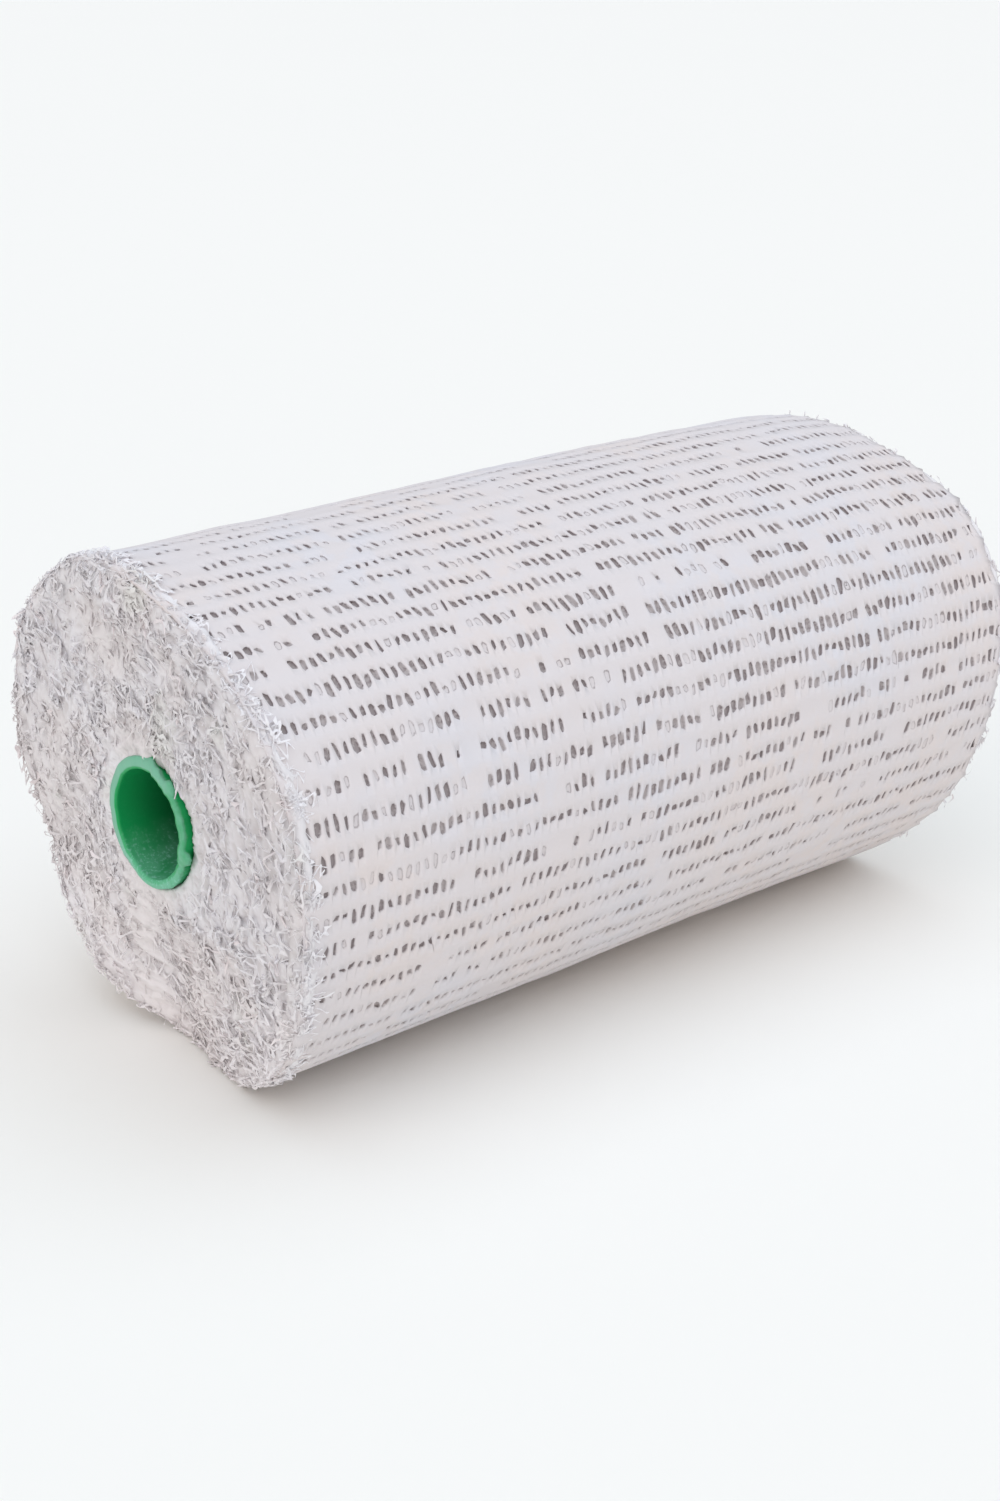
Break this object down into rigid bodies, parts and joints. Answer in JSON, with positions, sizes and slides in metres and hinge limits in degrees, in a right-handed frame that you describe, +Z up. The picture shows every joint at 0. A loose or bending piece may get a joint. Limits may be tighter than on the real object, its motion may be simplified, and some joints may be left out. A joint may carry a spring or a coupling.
{
  "type": "plaster bandage roll",
  "caption": "Roll of plaster-coated gauze bandage on a plastic tube, lying on its side, with rows of fine holes and shaggy frayed ends.",
  "frame": {"origin": "under the middle of the roll, on the surface it rests on", "axes": "+X along the roll from its shaggier near end to its far end, +Y to its back, +Z up"},
  "size_m": [0.1088, 0.057, 0.0562],
  "materials": {
    "gauze": "matt white plaster on open-weave gauze",
    "threads": "matt stiff plaster-coated threads",
    "plastic": "satin green, dusty inside"
  },
  "bodies": {
    "root": {"core_tube": "plastic", "bandage_roll": "gauze", "near_fringe": "threads", "far_fringe": "threads"}
  },
  "joints": []
}
